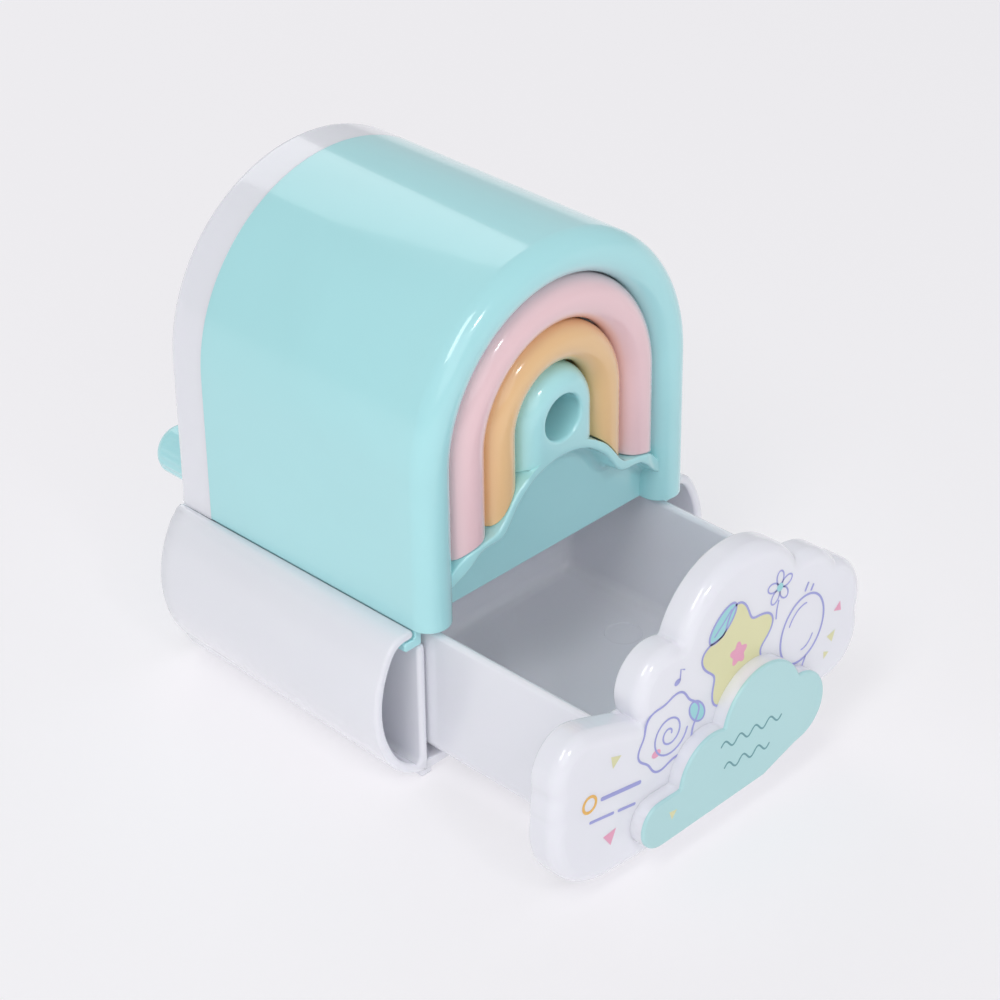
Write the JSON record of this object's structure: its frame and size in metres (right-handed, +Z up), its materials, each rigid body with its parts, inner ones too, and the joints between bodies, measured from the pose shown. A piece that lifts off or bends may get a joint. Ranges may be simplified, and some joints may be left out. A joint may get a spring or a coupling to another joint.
{
  "type": "desk pencil sharpener",
  "caption": "Hand-cranked desk pencil sharpener: arch housing with nested arch trims and a pencil hole, hollow-winged base, pull-out shavings drawer with a cloud-shaped front.",
  "frame": {"origin": "middle of the base's underside, on the table plane", "axes": "+Y runs the way the pencil goes in, from front to back; +Z up; +X to the right seen from the front"},
  "size_m": [0.0867, 0.1291, 0.094],
  "materials": {
    "mint_plastic": "gloss",
    "white_plastic": "gloss",
    "pink_plastic": "gloss",
    "apricot_plastic": "gloss",
    "nylon": "satin",
    "steel": "satin",
    "zinc": "cast",
    "brass": "satin"
  },
  "bodies": {
    "base": {"base_tray": "white_plastic", "housing_shell": "mint_plastic", "outer_trim_arch": "pink_plastic", "inner_trim_arch": "apricot_plastic", "wave_fascia": "mint_plastic", "fascia_screws": "steel", "rear_cover": "white_plastic", "cover_screws": "steel", "guide_bush": "nylon", "gear_ring": "nylon", "rear_bush": "brass"},
    "crank": {"cutter_carrier": "zinc", "carrier_screw": "steel", "drive_shaft": "steel", "crank_arm": "mint_plastic", "crank_screw": "steel", "knob_pin": "steel"},
    "cutter": {"helical_cutter": "steel", "cutter_pinion": "brass", "cutter_axle": "steel", "axle_clip": "steel"},
    "knob": {"crank_knob": "mint_plastic"},
    "drawer": {"drawer_tray": "white_plastic", "cloud_front": "white_plastic", "cloud_badge": "white_plastic", "badge_face": "mint_plastic", "front_screws": "steel"}
  },
  "joints": [
    {"name": "crank_turn", "type": "hinge", "parent": "base", "child": "crank", "pos_m": [0, 0.03, 0.061], "axis": [0, 1, 0], "continuous": true},
    {"name": "cutter_spin", "type": "hinge", "parent": "crank", "child": "cutter", "pos_m": [0, -0.017, 0.0706], "axis": [0, 0.9816, -0.1908], "continuous": true},
    {"name": "knob_spin", "type": "hinge", "parent": "crank", "child": "knob", "pos_m": [-0.01638, 0.04, 0.02771], "axis": [0, 1, 0], "continuous": true},
    {"name": "drawer_slide", "type": "slide", "parent": "base", "child": "drawer", "axis": [0, -1, 0], "range_m": [-0.0338, 0.014]}
  ],
  "couplings": [
    {"joint": "cutter_spin", "follows": "crank_turn", "ratio": -3}
  ]
}
